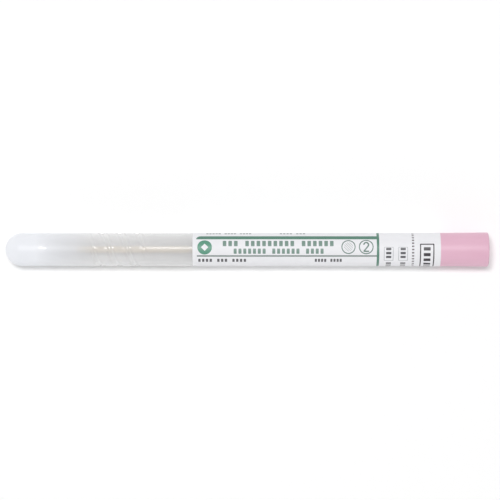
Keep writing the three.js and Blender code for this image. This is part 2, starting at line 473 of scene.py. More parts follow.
def roughen(piece):
    """Makes the cotton's outside uneven, and leaves the bore round the stick as it is."""
    outside = piece.vertex_groups.new(name="outside")
    for vertex in piece.data.vertices:
        out = math.hypot(vertex.co.y, vertex.co.z - AXIS_HEIGHT)
        if out > STICK_RADIUS + COTTON_AT_TAIL / 2 or vertex.co.x < STICK_TIP - SOLID_PAST_STICK:
            outside.add([vertex.index], 1, "REPLACE")
    lumps = bpy.data.textures.new("cotton_lumps", "CLOUDS")
    lumps.noise_scale = LUMP_SIZE
    lumps.noise_depth = LUMP_DETAIL
    push = piece.modifiers.new("lumps", "DISPLACE")
    push.texture = lumps
    push.mid_level = 0.5
    push.strength = LUMP_HEIGHT
    push.vertex_group = outside.name
    pick(piece)
    bpy.ops.object.modifier_apply(modifier=push.name)


bud = turned("cotton_tip", bud_section(), sides=BUD_SIDES)
roughen(bud)

# %% Loose fibres on the cotton
FIBRES = 420
FUZZ_SEED = 7
FUZZ_SMOOTH_UNDER = math.radians(60)
FIBRE_SIDES = 3
FIBRE_STEPS = 6
FIBRE_RADIUS = 0.012 * MM
FIBRE_BEND = 0.7 * MM
FIBRE_SWEEP = math.radians(75)
FIBRE_TILT = math.radians(13)
FIBRE_FROM_ENDS = 0.15 * MM
FIBRE_SUNK = 0.02 * MM
FIBRE_SMALLEST = 0.5
FIBRE_LARGER_BY = 0.7
SLOPE_STEP = 0.05 * MM


def one_fibre():
    """A thin curved fibre that starts at the origin, lies along +X and bends up a little."""
    bpy.ops.object.select_all(action="DESELECT")
    bpy.ops.mesh.primitive_circle_add(
        vertices=FIBRE_SIDES, radius=FIBRE_RADIUS, fill_type="NGON", rotation=(0, math.pi / 2, 0)
    )
    fibre = bpy.context.object
    fibre.name = "fibre"
    bpy.ops.object.transform_apply(location=True, rotation=True, scale=True)
    bpy.ops.object.mode_set(mode="EDIT")
    bpy.ops.mesh.select_all(action="SELECT")
    centre = (0, 0, -FIBRE_BEND)
    bpy.ops.mesh.spin(steps=FIBRE_STEPS, angle=FIBRE_SWEEP, center=centre, axis=(0, 1, 0))
    bpy.ops.object.mode_set(mode="OBJECT")
    return fibre


def fibre_place(draw):
    """A random place on the drop: a matrix whose +Z points out of the cotton."""
    along = BUD_TIP + FIBRE_FROM_ENDS + (BUD_TAIL - BUD_TIP - 2 * FIBRE_FROM_ENDS) * draw.random()
    turn = 2 * math.pi * draw.random()
    rise = (bud_radius(along + SLOPE_STEP) - bud_radius(along - SLOPE_STEP)) / (2 * SLOPE_STEP)
    outward = Vector((-rise, math.sin(turn), math.cos(turn))).normalized()
    out = bud_radius(along) - FIBRE_SUNK
    place = Vector((along, out * math.sin(turn), AXIS_HEIGHT + out * math.cos(turn)))
    facing = outward.to_track_quat("Z", "Y").to_matrix().to_4x4()
    heading = Matrix.Rotation(2 * math.pi * draw.random(), 4, "Z")
    lift = Matrix.Rotation(-FIBRE_TILT * draw.random(), 4, "Y")
    size = Matrix.Scale(FIBRE_SMALLEST + FIBRE_LARGER_BY * draw.random(), 4)
    return Matrix.Translation(place) @ facing @ heading @ lift @ size


def add_fuzz(piece):
    draw = random.Random(FUZZ_SEED)
    fibre = one_fibre()
    copies = []
    for _ in range(FIBRES):
        copy = fibre.copy()
        copy.data = fibre.data.copy()
        copy.data.transform(fibre_place(draw))
        bpy.context.collection.objects.link(copy)
        copies.append(copy)
    bpy.data.objects.remove(fibre)
    pick(piece)
    for copy in copies:
        copy.select_set(True)
    bpy.ops.object.join()
    smooth(piece, FUZZ_SMOOTH_UNDER)


add_fuzz(bud)
print("bud with fuzz", len(bud.data.polygons), "faces")

# %% [markdown]
# ## The label and the seal band
#
# The label is one strip of coated paper wrapped round the tube, with its two long edges
# nearly meeting underneath. Past a row of slits it runs onto the cap, and that last part
# tears off with the cap, so it is its own piece: the seal band. Each part starts as an
# open cylinder. Bisect adds a ring where the slits end, the faces in the slits and in the
# gap underneath are deleted, and Solidify gives the paper its thickness.

# %% Wrapping the strip
PAPER = 0.07 * MM
GLUE_LINE = 0.02 * MM
STRIP_SIDES = 256
SLITS_AROUND = 32
SLIT_ALONG = 0.12 * MM
SLIT_SHARE = 0.25
BUTT_GAP = 0.5 * MM
STRIP_RADIUS = TUBE_RADIUS + GLUE_LINE
CAP_TAPER = (CAP_RADIUS - TUBE_RADIUS) / (CAP_END - TUBE_RIM)


def in_slit(centre):
    """True for a face in one of the slits across the tear line. There is none underneath."""
    slits_from_top = math.atan2(centre.y, centre.z - AXIS_HEIGHT) / (2 * math.pi) * SLITS_AROUND
    if abs(centre.x - TUBE_RIM) > SLIT_ALONG or abs(slits_from_top) > (SLITS_AROUND - 1) / 2:
        return False
    return (slits_from_top + SLIT_SHARE / 2) % 1 < SLIT_SHARE


def in_gap(centre):
    """True for a face in the gap underneath, between the strip's long edges."""
    return centre.z < AXIS_HEIGHT and abs(centre.y) < BUTT_GAP / 2


def widen_end(piece, end, times):
    """Scales the ring of a strip's far end about the axis, so that the strip fits a cone."""
    for vertex in piece.data.vertices:
        vertex.select = abs(vertex.co.x - end) < WELD
    bpy.ops.object.mode_set(mode="EDIT")
    bpy.ops.mesh.select_mode(type="VERT")
    bpy.ops.transform.resize(value=(1, times, times), center_override=(end, 0, AXIS_HEIGHT))
    bpy.ops.object.mode_set(mode="OBJECT")


def wrapped_strip(name, start, end, taper):
    bpy.ops.object.select_all(action="DESELECT")
    bpy.ops.mesh.primitive_cylinder_add(
        vertices=STRIP_SIDES,
        radius=STRIP_RADIUS,
        depth=end - start,
        end_fill_type="NOTHING",
        location=((start + end) / 2, 0, AXIS_HEIGHT),
        rotation=(0, math.pi / 2, 0),
    )
    piece = bpy.context.object
    piece.name = piece.data.name = name
    bpy.ops.object.transform_apply(location=True, rotation=True, scale=True)
    bpy.ops.object.mode_set(mode="EDIT")
    slit_end = TUBE_RIM - SLIT_ALONG if start < TUBE_RIM else TUBE_RIM + SLIT_ALONG
    bpy.ops.mesh.select_all(action="SELECT")
    bpy.ops.mesh.bisect(plane_co=(slit_end, 0, 0), plane_no=(1, 0, 0))
    bpy.ops.mesh.select_all(action="DESELECT")
    bpy.ops.object.mode_set(mode="OBJECT")
    for face in piece.data.polygons:
        face.select = in_slit(face.center) or in_gap(face.center)
    bpy.ops.object.mode_set(mode="EDIT")
    bpy.ops.mesh.select_mode(type="FACE")
    bpy.ops.mesh.delete(type="FACE")
    bpy.ops.object.mode_set(mode="OBJECT")
    widen_end(piece, end, 1 + taper * (end - start) / STRIP_RADIUS)
    thicken = piece.modifiers.new("paper", "SOLIDIFY")
    thicken.thickness = PAPER
    thicken.offset = 1
    bpy.ops.object.modifier_apply(modifier=thicken.name)
    smooth(piece)
    print(name, len(piece.data.polygons), "faces")
    return piece


label = wrapped_strip("printed_label", LABEL_START, TUBE_RIM, 0)
seal_band = wrapped_strip("seal_strip", TUBE_RIM, BAND_END, CAP_TAPER)

# %% [markdown]
# ## A small language for finishes
#
# Every finish is a node tree. Writing out each node and link by hand hides the idea, so two
# small classes do it. A Value is a node's output, and the usual signs work on it: each one
# adds a Math node, and a comparison gives 1 or 0, which makes a mask. Nodes holds one tree,
# and its add method puts in any other node.

# %% Outputs that work in expressions


class Value:
    """One output of a node, for use in ordinary expressions."""

    def __init__(self, nodes, socket):
        self.nodes = nodes
        self.socket = socket

    def output(self, name):
        """Another output of the same node."""
        return Value(self.nodes, self.socket.node.outputs[name])

    def maths(self, operation, other=0.0):
        """A Math node with this value first and another second."""
        return self.nodes.add("ShaderNodeMath", {"operation": operation}, {0: self, 1: other})

    def __add__(self, other):
        return self.maths("ADD", other)

    def __sub__(self, other):
        return self.maths("SUBTRACT", other)

    def __rsub__(self, other):
        return self * -1 + other

    def __mul__(self, other):
        return self.maths("MULTIPLY", other)

    def __truediv__(self, other):
        return self.maths("DIVIDE", other)

    def __pow__(self, other):
        return self.maths("POWER", other)

    def __mod__(self, other):
        return self.maths("FLOORED_MODULO", other)

    def __lt__(self, other):
        return self.maths("LESS_THAN", other)

    def __gt__(self, other):
        return self.maths("GREATER_THAN", other)

    def __or__(self, other):
        return self.maths("MAXIMUM", other)

    def __abs__(self):
        return self.maths("ABSOLUTE")

    __radd__ = __add__
    __rmul__ = __mul__


# %% Node trees


def set_stops(ramp, stops):
    """Gives a colour ramp its stops, each a place from 0 to 1 and a colour."""
    while len(ramp.elements) < len(stops):
        ramp.elements.new(1)
    for element, (position, colour) in zip(ramp.elements, stops):
        element.position = position
        element.color = colour


class Nodes:
    """The node tree of one material, or of the world."""

    def __init__(self, owner):
        owner.use_nodes = True
        self.tree = owner.node_tree
        self.tree.nodes.clear()
        in_world = isinstance(owner, bpy.types.World)
        self.end = "ShaderNodeOutputWorld" if in_world else "ShaderNodeOutputMaterial"

    def add(self, kind, settings=None, inputs=None):
        """Adds a node: first its settings, then the number or link of each socket."""
        made = self.tree.nodes.new(kind)
        for name, setting in (settings or {}).items():
            if name == "stops":
                set_stops(made.color_ramp, setting)
            else:
                setattr(made, name, setting)
        for name, given in (inputs or {}).items():
            if isinstance(given, Value):
                self.tree.links.new(given.socket, made.inputs[name])
            else:
                made.inputs[name].default_value = given
        return Value(self, made.outputs[0]) if made.outputs else None

    def place(self):
        """A place on the piece: the vector, and its three numbers in metres."""
        vector = self.add("ShaderNodeTexCoord").output("Object")
        numbers = self.add("ShaderNodeSeparateXYZ", {}, {"Vector": vector})
        return vector, *(numbers.output(axis) for axis in "XYZ")

    def noise(self, vector, size, stretch=(1, 1, 1), detail=3):
        """Soft noise about one half, with lumps of a given size, drawn out by stretch."""
        scale = [1 / times for times in stretch]
        drawn = self.add("ShaderNodeMapping", {}, {"Vector": vector, "Scale": scale})
        inputs = {"Vector": drawn, "Scale": 1 / size, "Detail": detail}
        return self.add("ShaderNodeTexNoise", {}, inputs)

    def mix(self, share, first, second):
        """A colour part of the way from the first to the second.

        The node has a set of sockets for each kind of data, with the same names, so the
        colour ones go by number: 6 and 7 going in, and 2 coming out.
        """
        inputs = {"Factor": share, 6: first, 7: second}
        return self.add("ShaderNodeMix", {"data_type": "RGBA"}, inputs).output(2)

    def fade(self, value, start, end):
        """1 before the start, 0 past the end, and an even slope between them."""
        stretch = {"Value": value, "From Min": start, "From Max": end, "To Min": 1, "To Max": 0}
        return self.add("ShaderNodeMapRange", {}, stretch)

    def bump(self, height, distance):
        return self.add("ShaderNodeBump", {}, {"Height": height, "Distance": distance})

    def show(self, shader):
        self.add(self.end, {}, {"Surface": shader})

    def coat(self, **inputs):
        """Shows a Principled shader. An underscore in an input's name stands for a space."""
        named = {name.replace("_", " "): given for name, given in inputs.items()}
        self.show(self.add("ShaderNodeBsdfPrincipled", {}, named))


def paint(red, green, blue):
    """A colour as screens show it, from 0 to 255, turned into the linear colour of nodes."""
    return (*(((c / 255 + 0.055) / 1.055) ** 2.4 for c in (red, green, blue)), 1)


def finish_piece(piece, name):
    """Gives a piece a new material and returns its node tree."""
    material = bpy.data.materials.new(name)
    piece.data.materials.clear()
    piece.data.materials.append(material)
    print(piece.name, "is finished in", name)
    return Nodes(material)


# %% [markdown]
# ## Milky plastic
#
# Natural polypropylene scatters light, so it is neither clear nor white. Glass with
# scattering inside would be closest, but it is slow and noisy, and few other programs
# read it. A plain Alpha does well here, because light crosses four surfaces on its way
# through the tube, and each one adds some of its own milky colour. The round end is the
# thickest part, so it is nearly opaque and a little bluer. Toward the label the colour is
# painted very slightly greyer, a painted shade for the light that the label keeps out of
# the tube. A wall that is seen edge on has more plastic behind each point of it,
# so Layer Weight raises its Alpha.
#
# The mould was polished in some places and left matte in others. Roughness could follow
# that, but a thin clear coat does it better: the plastic under it keeps its soft shine, and
# the coat's weight adds a sharp one next to the label and in and beside the grooves. Alpha
# thins that shine too, so the coat's index is a high one. On top of the round end is a sink
# mark, a shallow dimple that forms as thick plastic cools. It is a seventh of a millimetre
# deep, so bump draws it, and a little of the coat in it catches the light.

# %% The tube's finish
MILKY = paint(243, 243, 244)
# painted shade: the plastic's colour toward the label, greyer where the label keeps light out of
# the tube
MILKY_PAINTED_SHADE_AT_LABEL = paint(237, 237, 238)
MILKY_AT_ROUND = paint(239, 241, 246)
MILKY_ALPHA = 0.32
ALPHA_AT_ROUND = 0.95
THICK_TO = TUBE_TIP + 11.5 * MM
THIN_FROM = TUBE_TIP + 33 * MM
POLISH_FROM = TUBE_TIP + 48 * MM
POLISH_FULL = TUBE_TIP + 55 * MM
POLISH_AT_LABEL = 0.8
SINK_FROM_TIP = 14 * MM
SINK_OFF_TOP = 0.5 * MM
SINK_RADIUS = 1.9 * MM
SINK_DEPTH = 0.15 * MM
POLISH_AT_SINK = 0.28
RIPPLE_HEIGHT = 0.03 * MM
RIPPLE_SIZE = 2.2 * MM
FLOW_SIZE = 5 * MM
FLOW_TINT = 0.3
MILKY_ROUGHNESS = 0.4
FLOW_ROUGHENS = 0.1
POLISH_ROUGHNESS = 0.08
POLISH_INDEX = 1.7
EDGE_BLEND = 0.5


def finish_tube(piece):
    nodes = finish_piece(piece, "milky_polypropylene")
    vector, x, y, z = nodes.place()
    flow = nodes.noise(vector, FLOW_SIZE, stretch=(6, 1, 1))
    thick = nodes.fade(x, THICK_TO, THIN_FROM)
    # painted shade: the milky colour turns greyer toward the label, where the label keeps light out
    clear = nodes.mix(nodes.fade(x, THIN_FROM, POLISH_FULL), MILKY_PAINTED_SHADE_AT_LABEL, MILKY)
    colour = nodes.mix(thick + (flow - 0.5) * FLOW_TINT, clear, MILKY_AT_ROUND)
    at_grooves = nodes.add("ShaderNodeAttribute", {"attribute_name": "polish"}).output("Fac")
    from_sink = ((x - TUBE_TIP - SINK_FROM_TIP) ** 2 + (y - SINK_OFF_TOP) ** 2) ** 0.5
    sink = (1 - (from_sink / SINK_RADIUS) ** 2 | 0) ** 2 * (z > AXIS_HEIGHT)
    at_label = (1 - nodes.fade(x, POLISH_FROM, POLISH_FULL)) * POLISH_AT_LABEL
    ripple = nodes.noise(vector, RIPPLE_SIZE, stretch=(4, 1, 1), detail=2)
    opacity = MILKY_ALPHA + thick * (ALPHA_AT_ROUND - MILKY_ALPHA)
    edge_on = nodes.add("ShaderNodeLayerWeight", {}, {"Blend": EDGE_BLEND}).output("Facing")
    nodes.coat(
        Base_Color=colour,
        Roughness=MILKY_ROUGHNESS + flow * FLOW_ROUGHENS,
        Coat_Weight=sink * POLISH_AT_SINK | at_grooves | at_label,
        Coat_Roughness=POLISH_ROUGHNESS,
        Coat_IOR=POLISH_INDEX,
        Alpha=opacity + (1 - opacity) * edge_on,
        Normal=nodes.bump(ripple * RIPPLE_HEIGHT - sink * SINK_DEPTH, 1),
    )


finish_tube(tube)

# %% [markdown]
# ## Pink plastic
#
# The cap is coloured polyethylene, opaque and waxy. Its colour is nearly even. What makes
# it look moulded is a broad soft shine, a very fine grain from the mould, and a small
# ring in the middle of the end, left where the plastic ran in.

# %% The cap's finish
PINK = paint(227, 182, 202)
PINK_DEEP = paint(220, 172, 193)
GATE_RADIUS = 1.1 * MM
GATE_LINE = 0.16 * MM
PINK_CLOUD_SIZE = 4 * MM
GRAIN_SIZE = 0.12 * MM
PINK_ROUGHNESS = 0.36
GRAIN_ROUGHENS = 0.16
PINK_RELIEF = 0.05 * MM
GRAIN_SHARE = 0.1
GATE_SHARE = 0.5


def finish_cap(piece):
    nodes = finish_piece(piece, "pink_polyethylene")
    vector, x, y, z = nodes.place()
    cloud = nodes.noise(vector, PINK_CLOUD_SIZE, stretch=(3, 1, 1))
    grain = nodes.noise(vector, GRAIN_SIZE, detail=2)
    from_axis = (y**2 + (z - AXIS_HEIGHT) ** 2) ** 0.5
    gate = (abs(from_axis - GATE_RADIUS) < GATE_LINE / 2) * (x > CAP_END - CAP_END_ROUNDING / 2)
    nodes.coat(
        Base_Color=nodes.mix(cloud, PINK_DEEP, PINK),
        Roughness=PINK_ROUGHNESS + grain * GRAIN_ROUGHENS,
        Normal=nodes.bump(grain * GRAIN_SHARE + gate * GATE_SHARE, PINK_RELIEF),
    )


finish_cap(cap)

# %% [markdown]
# ## Birch
#
# Birch is pale, with a fine straight grain. Noise drawn out forty times along the stick
# gives the streaks, and a second, finer one the pores. Both also lift the surface.

# %% The stick's finish
BIRCH_PALE = paint(236, 219, 190)
BIRCH_DARK = paint(208, 180, 143)
DARK_UNDER = 0.36
PALE_OVER = 0.52
STREAK_WIDTH = 0.5 * MM
STREAK_SHARE = 0.7
PORE_WIDTH = 0.09 * MM
PORE_SHARE = 0.3
BIRCH_ROUGHNESS = 0.5
PORES_ROUGHEN = 0.2
BIRCH_RELIEF = 0.04 * MM


def finish_stick(piece):
    nodes = finish_piece(piece, "birch_wood")
    vector = nodes.place()[0]
    streaks = nodes.noise(vector, STREAK_WIDTH, stretch=(40, 1, 1), detail=4)
    pores = nodes.noise(vector, PORE_WIDTH, stretch=(18, 1, 1), detail=2)
    grain = streaks * STREAK_SHARE + pores * PORE_SHARE
    stops = [(DARK_UNDER, BIRCH_DARK), (PALE_OVER, BIRCH_PALE)]
    nodes.coat(
        Base_Color=nodes.add("ShaderNodeValToRGB", {"stops": stops}, {"Fac": grain}),
        Roughness=BIRCH_ROUGHNESS + pores * PORES_ROUGHEN,
        Normal=nodes.bump(streaks + pores, BIRCH_RELIEF),
    )


finish_stick(stick)

# %% [markdown]
# ## Cotton
#
# Bleached cotton is a slightly cool white and has no shine. It was wound on, so its fine
# strands run round the bud, and the noise for them is drawn out that way. Stretching
# works along an axis only, so the noise reads the angle round the stick in place of Y.

# %% The bud's finish
COTTON = paint(243, 245, 248)
COTTON_SHADE = paint(220, 222, 226)
STRAND_LENGTH = 2.2 * MM
STRAND_WIDTH = 0.11 * MM
STRAND_RELIEF = 0.12 * MM
WINDING_SLANT = 0.25
SHADE_UNDER = 0.3
WHITE_OVER = 0.6
COTTON_ROUGHNESS = 0.95


def finish_bud(piece):
    nodes = finish_piece(piece, "wound_cotton")
    _, x, y, z = nodes.place()
    around = y.maths("ARCTAN2", z - AXIS_HEIGHT) * BUD_RADIUS
    inputs = {"X": x + around * WINDING_SLANT, "Y": around}
    wound = nodes.add("ShaderNodeCombineXYZ", {}, inputs)
    drawn_out = (1, STRAND_LENGTH / STRAND_WIDTH, 1)
    strands = nodes.noise(wound, STRAND_WIDTH, stretch=drawn_out, detail=4)
    stops = [(SHADE_UNDER, COTTON_SHADE), (WHITE_OVER, COTTON)]
    nodes.coat(
        Base_Color=nodes.add("ShaderNodeValToRGB", {"stops": stops}, {"Fac": strands}),
        Roughness=COTTON_ROUGHNESS,
        Normal=nodes.bump(strands, STRAND_RELIEF),
    )


finish_bud(bud)

# %% [markdown]
# ## The print on the label
#
# The print is built from masks on the unrolled strip: how far along the tube a place is,
# from its round end, and how far round from the top line, both in millimetres. A mask is
# 1 on the ink and 0 off it. Four small functions are enough, for a rounded box, a frame,
# a ring and a row of words. Lettering has no place on a general part, so each letter is a
# plain block, and a row only has the rhythm of its words.

# %% Shapes of ink
CORNER = 0.15


def box_ink(along, around, half_length, half_height, corner=CORNER):
    """A rounded box about the place where both distances are 0."""
    past_end = abs(along) - (half_length - corner) | 0
    past_side = abs(around) - (half_height - corner) | 0
    return past_end**2 + past_side**2 < corner**2


def frame_ink(along, around, half_length, half_height, line):
    outside = box_ink(along, around, half_length, half_height, corner=2 * CORNER)
    return outside - box_ink(along, around, half_length - line, half_height - line)


def ring_ink(from_middle, radius, line):
    return abs(from_middle - (radius - line / 2)) < line / 2


def words_ink(run, across, words, pitch, letter):
    """A row of words, one block for each letter. Words holds how many letters each has."""
    block = box_ink(run % pitch - letter[0] / 2, across, letter[0] / 2, letter[1] / 2)
    start = 0
    inside = 0
    for letters in words:
        middle = (start + letters / 2) * pitch
        inside = (abs(run - middle) < letters * pitch / 2) + inside
        start += letters + 1
    return block * inside


def strip_place(nodes):
    """A place on the strip: millimetres along from the tube's tip, and round from the top."""
    vector, x, y, z = nodes.place()
    around = y.maths("ARCTAN2", z - AXIS_HEIGHT) * (STRIP_RADIUS / MM)
    return vector, (x - TUBE_TIP) / MM, around


# %% [markdown]
# ## The label's layout
#
# The front holds a green panel with a thick bar along its top and a rounded corner, a
# disc with a plain mark, two lines of green blocks, and two rings, one with hatching and
# one with the number 2. Under it comes a row for a name and a date. Near the tear line
# two small frames hold blocks turned round the tube. The places and sizes below are in
# millimetres, along the tube first and then round it. A letter's size is measured along
# its row first and then across.

# %% Inks
GREEN = paint(84, 128, 111)
GREEN_DISC = paint(85, 143, 121)
GREEN_GREY = paint(96, 122, 114)
GREEN_WORDS = paint(116, 142, 132)
GREY_LINE = paint(112, 126, 122)
BLACK = paint(52, 48, 54)
BLACK_PALE = paint(88, 88, 92)
GREY_FAR = paint(120, 130, 127)
GREY_FRAME = paint(180, 182, 186)

# %% The panel
PANEL_MIDDLE = (107.3, -4)
PANEL_HALF = (36.9, 9.6)
PANEL_CORNER = 1.8
BAR_BOTTOM = 4
BAR_END = 137
UPRIGHT_MIDDLE = 137.15
UPRIGHT_LINE = 0.9
UNDERLINE_MIDDLE = (103.7, -2.4)
UNDERLINE_HALF = (33, 0.27)


def panel_ink(along, around):
    """The bar along the panel's top, and the upright line that closes the panel."""
    run = along - PANEL_MIDDLE[0]
    rise = around - PANEL_MIDDLE[1]
    panel = box_ink(run, rise, *PANEL_HALF, corner=PANEL_CORNER)
    bar = panel * (around > BAR_BOTTOM) * (along < BAR_END)
    upright = abs(along - UPRIGHT_MIDDLE) < UPRIGHT_LINE / 2
    return bar | upright


def underline_ink(along, around):
    """The thin line along the panel's lower edge."""
    run = abs(along - UNDERLINE_MIDDLE[0])
    rise = abs(around - UNDERLINE_MIDDLE[1])
    return (rise < UNDERLINE_HALF[1]) * (run < UNDERLINE_HALF[0])


# %% The disc and the rings
DISC_MIDDLE = (73.55, 0.85)
DISC_RADIUS = 2.68
MARK_REACH = 1.35
RINGS_AROUND = 0.98
RING_LINE = 0.38
HATCHED_RING = {"along": 126.3, "radius": 2.6}
NUMBER_RING = {"along": 132.8, "radius": 2.7}
HATCHING_RADIUS = 1.7
HATCHING_PITCH = 0.9
HATCHING_LINE = 0.4


def disc_ink(along, around):
    """A disc with a small square mark left out of its middle, standing on a corner."""
    run = along - DISC_MIDDLE[0]
    rise = around - DISC_MIDDLE[1]
    disc = (run**2 + rise**2) ** 0.5 < DISC_RADIUS
    mark = abs(run) + abs(rise) < MARK_REACH
    return disc - mark


def number_two_ink(run, rise):
    """The number 2, as the end of an arc, a slope and a foot."""
    half_line = 0.25
    bowl_radius = 0.85
    bowl_height = 0.78
    turn_off = 0.3
    foot = -1.62
    foot_middle = 0.05
    foot_half = 1.0
    bowl = abs((run**2 + (rise - bowl_height) ** 2) ** 0.5 - bowl_radius) < half_line
    bowl = bowl * ((rise > bowl_height) | (run > 0) * (rise > turn_off))
    reach = math.sqrt(bowl_radius**2 - (bowl_height - turn_off) ** 2)
    slope = (turn_off - foot) / (reach + bowl_radius)
    from_slope = (run + bowl_radius) * slope - (rise - foot)
    steep = half_line * math.hypot(slope, 1)
    leg = (abs(from_slope) < steep) * (rise < turn_off) * (rise > foot)
    return bowl | leg | box_ink(run - foot_middle, rise - foot, foot_half, half_line)


def rings_ink(along, around):
    """A ring with hatching in it, and a ring round the number 2."""
    rise = around - RINGS_AROUND
    first = along - HATCHED_RING["along"]
    second = along - NUMBER_RING["along"]
    from_first = (first**2 + rise**2) ** 0.5
    from_second = (second**2 + rise**2) ** 0.5
    hatched = ring_ink(from_first, HATCHED_RING["radius"], RING_LINE)
    numbered = ring_ink(from_second, NUMBER_RING["radius"], RING_LINE)
    stripes = (first + rise) % HATCHING_PITCH < HATCHING_LINE
    hatching = (from_first < HATCHING_RADIUS) * stripes
    return hatched | numbered | number_two_ink(second, rise), hatching


# %% Rows of words
GREEN_ROWS = [
    {"start": (80.2, 2.25), "words": (3, 9, 6), "pitch": 2.07, "letter": (1.3, 2.1)},
    {"start": (84.2, -0.6), "words": (7, 6, 4), "pitch": 1.77, "letter": (1.1, 1.9)},
]
SMALL_ROWS = [
    {"start": (71.2, -4.3), "words": (4, 3, 4), "pitch": 1.39, "letter": (0.85, 1.45)},
    {"start": (114, -4.3), "words": (4, 4), "pitch": 1.14, "letter": (0.75, 1.45)},
]
FAR_ROWS = [
    {"start": (74.1, 7.7), "words": (5, 4, 4), "pitch": 1.12, "letter": (0.85, 1.1)},
    {"start": (101.2, 7.7), "words": (4, 3), "pitch": 1.2, "letter": (0.85, 1.1)},
]


def row_ink(along, around, start, **row):
    """A row of words that starts at a place on the middle line of its letters."""
    return words_ink(along - start[0], around - start[1], **row)


def rows_ink(along, around, rows):
    first, second = (row_ink(along, around, **row) for row in rows)
    return first | second


# %% Frames and the tear line
THIN_FRAMES_ALONG = (141.05, 146.35)
THIN_FRAME_AROUND = -1.75
THIN_FRAME_HALF = (1.75, 2.71)
THIN_FRAME_LINE = 0.22
TURNED_START = 0.65
TURNED_WORDS = {"words": (3, 6), "pitch": 1.5, "letter": (0.9, 1.9)}
BOLD_FRAME_MIDDLE = (155.15, -6.4)
BOLD_FRAME_HALF = (2.65, 8.55)
BOLD_FRAME_LINE = 0.42
BOLD_START = 0.85
BOLD_WORDS = {"words": (7,), "pitch": 2.12, "letter": (1.2, 2.5)}
DASH_HALF = (0.4, 0.25)
DASH_CORNER = 0.1


def turned_frames_ink(along, around):
    """Two thin frames by the tear line, and the blocks in and past each, turned round the tube."""
    frames = 0
    blocks = 0
    for middle in THIN_FRAMES_ALONG:
        run = along - middle
        rise = around - THIN_FRAME_AROUND
        frames = frame_ink(run, rise, *THIN_FRAME_HALF, THIN_FRAME_LINE) + frames
        blocks = words_ink(TURNED_START - around, run, **TURNED_WORDS) + blocks
    return frames, blocks


def tear_line_ink(along, around):
    """A short dash printed over each slit of the tear line."""
    spacing = 2 * math.pi * STRIP_RADIUS / MM / SLITS_AROUND
    from_dash = (around + spacing / 2) % spacing - spacing / 2
    from_line = along - (TUBE_RIM - TUBE_TIP) / MM
    return box_ink(from_line, from_dash, *DASH_HALF, corner=DASH_CORNER)


# %% [markdown]
# ## Label paper
#
# The paper is coated, so it takes a dull even shine, and the ink is a little glossier
# than the bare paper. A faint unevenness in the white and a very small bump keep it from
# looking like a plastic film. The label and the seal band were one strip when they were
# printed, so the same function lays the ground for both.

# %% The strip's finishes
PAPER_WHITE = paint(237, 237, 240)
PAPER_SHADE = paint(231, 231, 235)
PAPER_ROUGHNESS = 0.55
INK_ROUGHNESS = 0.42
FIBRE_SIZE = 0.16 * MM
SHADE_SIZE = 3 * MM
PAPER_RELIEF = 0.008 * MM
HATCHING_STRENGTH = 0.45


def finish_strip(piece, name, print_on):
    """Gives a part of the strip its paper, and the print that a function lays on it."""
    nodes = finish_piece(piece, name)
    vector, along, around = strip_place(nodes)
    fibres = nodes.noise(vector, FIBRE_SIZE, detail=2)
    cloud = nodes.noise(vector, SHADE_SIZE)
    colour = nodes.mix(cloud, PAPER_SHADE, PAPER_WHITE)
    inked = 0
    for ink, mask in print_on(along, around):
        colour = nodes.mix(mask, colour, ink)
        inked = mask + inked
    nodes.coat(
        Base_Color=colour,
        Roughness=PAPER_ROUGHNESS - (inked | 0) * (PAPER_ROUGHNESS - INK_ROUGHNESS),
        Normal=nodes.bump(fibres, PAPER_RELIEF),
    )


def label_print(along, around):
    """The label's inks and where each one lies, in millimetres, from the lowest layer up."""
    dark, hatching = rings_ink(along, around)
    frames, blocks = turned_frames_ink(along, around)
    return [
        (GREEN, panel_ink(along, around)),
        (GREEN_DISC, disc_ink(along, around)),
        (GREEN_WORDS, rows_ink(along, around, GREEN_ROWS)),
        (GREEN_GREY, hatching * HATCHING_STRENGTH),
        (GREEN_GREY, dark),
        (GREY_LINE, underline_ink(along, around)),
        (BLACK_PALE, rows_ink(along, around, SMALL_ROWS)),
        (GREY_FAR, rows_ink(along, around, FAR_ROWS)),
        (GREY_FRAME, frames),
        (BLACK_PALE, blocks),
        (BLACK, tear_line_ink(along, around)),
    ]


def seal_print(along, around):
    """A bold frame that runs round the cap, with bold blocks in it."""
    run = along - BOLD_FRAME_MIDDLE[0]
    rise = around - BOLD_FRAME_MIDDLE[1]
    frame = frame_ink(run, rise, *BOLD_FRAME_HALF, BOLD_FRAME_LINE)
    blocks = words_ink(BOLD_START - around, run, **BOLD_WORDS)
    return [(BLACK, frame), (BLACK, blocks), (BLACK, tear_line_ink(along, around))]


finish_strip(label, "label_paper", label_print)
finish_strip(seal_band, "seal_paper", seal_print)

# %% [markdown]
# ## What moves with what
#
# The tube and its label are one body. The cap pulls out along the tube, and takes the
# torn-off seal band, the stick and the cotton with it. Each new piece stands for the
# imported node of the same part, which is hidden. The table also names that part's slot.

# %% Bodies and slots
PIECES = [
    (tube, "tube", "tube", "milky_plastic"),
    (label, "label", "tube", "label_paper"),
    (cap, "cap", "cap", "pink_plastic"),
    (seal_band, "seal_band", "cap", "seal_paper"),
    (stick, "swab_stick", "cap", "birch"),
    (bud, "cotton_bud", "cap", "cotton"),
]

for piece, node, body, slot in PIECES:
    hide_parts(node)
    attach(piece, body)
print("pieces:", [piece.name for piece, *_ in PIECES])

# %% [markdown]
# ## The table
#
# The object lies on a plain pale table. A camera should see the table as white, and the
# object's shadow on it, but white made by more light would wash out the object. So the
# table's material adds a little glow that only camera, mirror and glass rays see.

# %% The table and its shadow
TABLE_SIZE = 3
TABLE_GREY = (0.93, 0.93, 0.93, 1)
TABLE_ROUGHNESS = 0.9
TABLE_GLOW = 0.09
NO_GLOW = (0, 0, 0, 1)
WHITE_GLOW = (1, 1, 1, 1)


